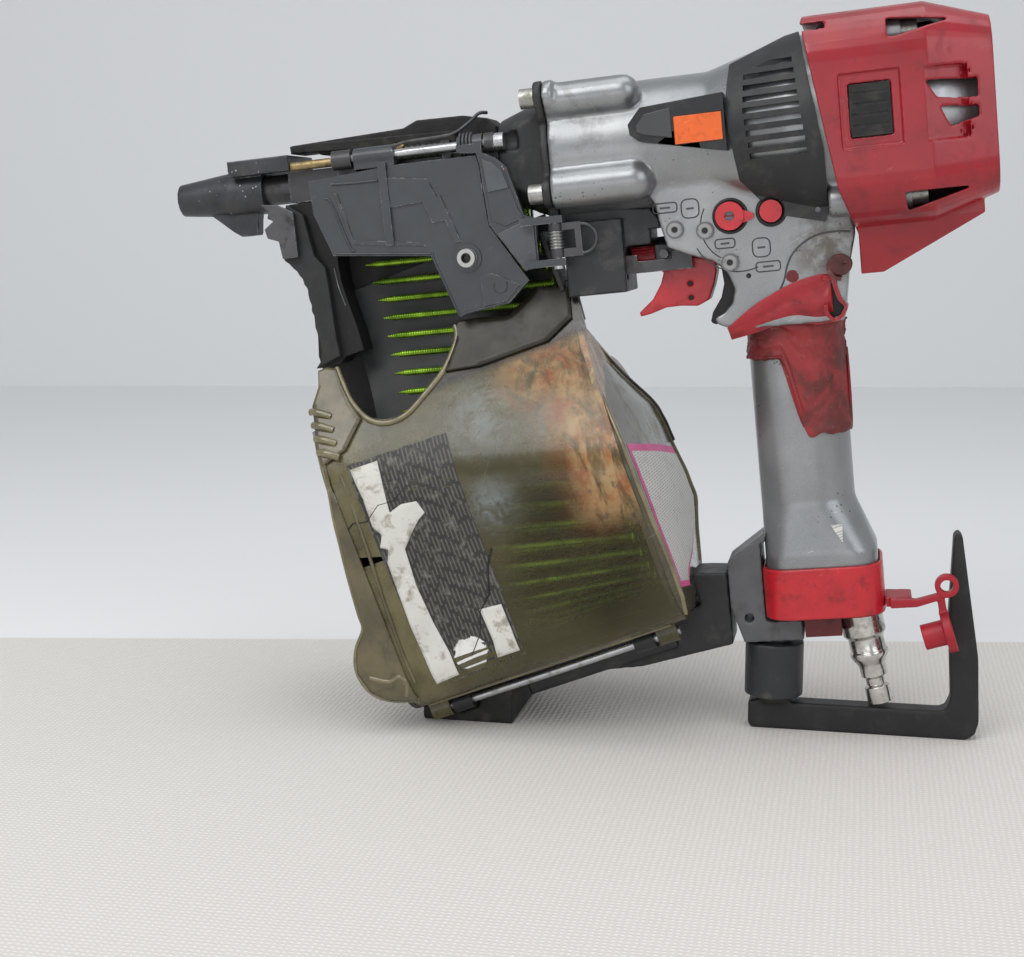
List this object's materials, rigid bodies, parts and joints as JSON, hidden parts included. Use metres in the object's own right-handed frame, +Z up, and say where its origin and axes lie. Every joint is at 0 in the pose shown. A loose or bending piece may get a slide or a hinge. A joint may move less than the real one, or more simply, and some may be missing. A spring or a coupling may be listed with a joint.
{
  "type": "pneumatic coil nailer",
  "caption": "Pneumatic coil nailer with slender nose, canted clear magazine drum, red rear cover, bare metal handle with torn grip, air plug and folding belt hook.",
  "frame": {"origin": "centre of the box on the surface that the tool stands on, upright on its magazine foot and belt hook", "axes": "+Z up; +X towards the rear of the tool, so the nose points to -X; -Y is the side with the door and the magazine cover. The barrel leans nose-down by 6 degrees"},
  "size_m": [0.3962, 0.126, 0.3377],
  "materials": {
    "silver_casting": "silver paint over a casting, chipped and worn bright",
    "black_casting": "black paint, worn at the edges",
    "dark_casting": "dark grey satin paint",
    "door_paint": "blue-grey satin paint, rubbed at the edges",
    "zinc_bolt": "zinc plated, dulled",
    "nose_steel": "blackened steel, worn bright at edges",
    "foot_steel": "blackened steel, bright at the tip",
    "worn_steel": "oily steel with a straw tint",
    "bright_steel": "ground steel",
    "spring_steel": "oiled spring wire",
    "sleeve_aluminium": "turned",
    "cap_aluminium": "die cast",
    "brass_stem": "turned",
    "plug_chrome": "polished, scuffed",
    "bracket_metal": "grey paint, scuffed",
    "red_cover": "satin red moulding, scuffed",
    "red_trim": "satin red moulding",
    "dark_red_plastic": "dark red moulding",
    "red_rubber": "dirty dark red rubber, torn and rolled",
    "red_rubber_bright": "soft red rubber",
    "black_rubber": "matte, dusty",
    "bumper_rubber": "urethane",
    "black_plastic": "fine moulded grain",
    "hook_black": "coarse satin black",
    "orange_badge": "plain orange badge, scratched",
    "smoke_plastic": "clear smoke-yellow moulding, scratched and stained",
    "green_nails": "green lacquered steel wire"
  },
  "bodies": {
    "tool": {"body_housing": "silver_casting", "nose_flange": "black_casting", "flange_bolts": "zinc_bolt", "nose_guide": "nose_steel", "top_cover": "black_rubber", "door_hinge_rod": "bright_steel", "cylinder_sleeve": "sleeve_aluminium", "bumper": "bumper_rubber", "cylinder_cap": "cap_aluminium", "cap_bolts": "zinc_bolt", "rear_cover": "red_cover", "side_pads": "black_rubber", "louvre_cover_near": "black_plastic", "louvre_cover_far": "black_plastic", "side_panel_near": "black_plastic", "side_panel_far": "black_plastic", "blank_badges": "orange_badge", "web_screws": "zinc_bolt", "trigger_pin": "bright_steel", "trigger_valve_body": "cap_aluminium", "arm_guide": "dark_casting", "feed_cylinder": "dark_casting", "grip_sleeve": "red_rubber", "end_ring": "red_trim", "end_cap": "dark_red_plastic", "air_plug": "plug_chrome", "plug_strap": "red_rubber_bright", "hook_bracket": "bracket_metal", "hook_post": "dark_casting", "magazine_base": "black_plastic", "coil_tray": "black_plastic", "support_arm": "black_plastic", "magazine_foot": "black_rubber", "nail_guard": "black_rubber", "guard_claw": "nose_steel", "cover_hinge_pin": "bright_steel", "nail_coil": "green_nails", "contact_spring": "spring_steel", "head_valve_spring": "spring_steel"},
    "door": {"door": "door_paint", "door_arm": "door_paint", "door_screw": "zinc_bolt", "latch_pin": "bright_steel", "latch_spring": "spring_steel"},
    "latch": {"latch_lever": "bright_steel"},
    "cover": {"magazine_cover": "smoke_plastic"},
    "contact": {"contact_foot": "foot_steel", "contact_arm": "nose_steel", "contact_rod": "worn_steel"},
    "dial": {"depth_dial": "red_trim"},
    "trigger": {"trigger": "red_trim"},
    "valve_stem": {"valve_stem": "brass_stem"},
    "mode_knob": {"mode_knob": "red_trim"},
    "duster_button": {"duster_button": "red_trim"},
    "hook": {"belt_hook": "hook_black"},
    "piston": {"piston": "sleeve_aluminium", "driver_blade": "bright_steel"},
    "head_valve": {"head_valve": "cap_aluminium"},
    "feed": {"feed_piston": "sleeve_aluminium", "feed_pawl": "nose_steel"}
  },
  "joints": [
    {"name": "door_hinge", "type": "hinge", "parent": "tool", "child": "door", "pos_m": [-0.06803, -0.028, 0.27618], "axis": [-0.9945, 0, -0.1045], "range_deg": [0, 100]},
    {"name": "latch_pull", "type": "hinge", "parent": "door", "child": "latch", "pos_m": [-0.0013, -0.038, 0.23442], "axis": [0.1045, 0, -0.9945], "range_deg": [0, 25], "stiffness_Nm_per_rad": 0.02, "springref_deg": -8.59},
    {"name": "cover_hinge", "type": "hinge", "parent": "tool", "child": "cover", "pos_m": [0.00213, -0.038, 0.03061], "axis": [0.9304, 0, 0.3665], "range_deg": [0, 75]},
    {"name": "contact_press", "type": "slide", "parent": "tool", "child": "contact", "axis": [0.9945, 0, 0.1045], "range_m": [0, 0.011], "stiffness_N_per_m": 600, "springref_m": -0.012, "deforming": ["contact_spring"]},
    {"name": "dial_spin", "type": "hinge", "parent": "tool", "child": "dial", "pos_m": [0.0358, -0.008, 0.22575], "axis": [0.9945, 0, 0.1045], "continuous": true},
    {"name": "trigger_pull", "type": "hinge", "parent": "tool", "child": "trigger", "pos_m": [0.04758, -0.008, 0.2285], "axis": [0, -1, 0], "range_deg": [0, 13], "stiffness_Nm_per_rad": 0.25, "springref_deg": -11.46},
    {"name": "valve_stem_lift", "type": "slide", "parent": "tool", "child": "valve_stem", "axis": [-0.1045, 0, 0.9945], "range_m": [0, 0.0032]},
    {"name": "mode_turn", "type": "hinge", "parent": "tool", "child": "mode_knob", "pos_m": [0.07776, -0.032, 0.24565], "axis": [0, -1, 0], "range_deg": [-45, 45]},
    {"name": "duster_press", "type": "slide", "parent": "tool", "child": "duster_button", "axis": [0, 1, 0], "range_m": [0, 0.0018], "stiffness_N_per_m": 80, "springref_m": -0.003},
    {"name": "hook_swivel", "type": "hinge", "parent": "tool", "child": "hook", "pos_m": [0.10153, -0.008, 0.02], "axis": [0, 0, 1], "range_deg": [0, 120]},
    {"name": "piston_stroke", "type": "slide", "parent": "tool", "child": "piston", "axis": [-0.9945, 0, -0.1045], "range_m": [0, 0.1495]},
    {"name": "head_valve_lift", "type": "slide", "parent": "tool", "child": "head_valve", "axis": [0.9945, 0, 0.1045], "range_m": [0, 0.006], "stiffness_N_per_m": 1500, "springref_m": -0.004, "deforming": ["head_valve_spring"]},
    {"name": "feed_stroke", "type": "slide", "parent": "tool", "child": "feed", "axis": [-0.3665, 0, 0.9304], "range_m": [0, 0.0086], "stiffness_N_per_m": 300, "springref_m": -0.004}
  ],
  "couplings": [
    {"joint": "valve_stem_lift", "follows": "trigger_pull", "m_per_rad": 0.013}
  ]
}
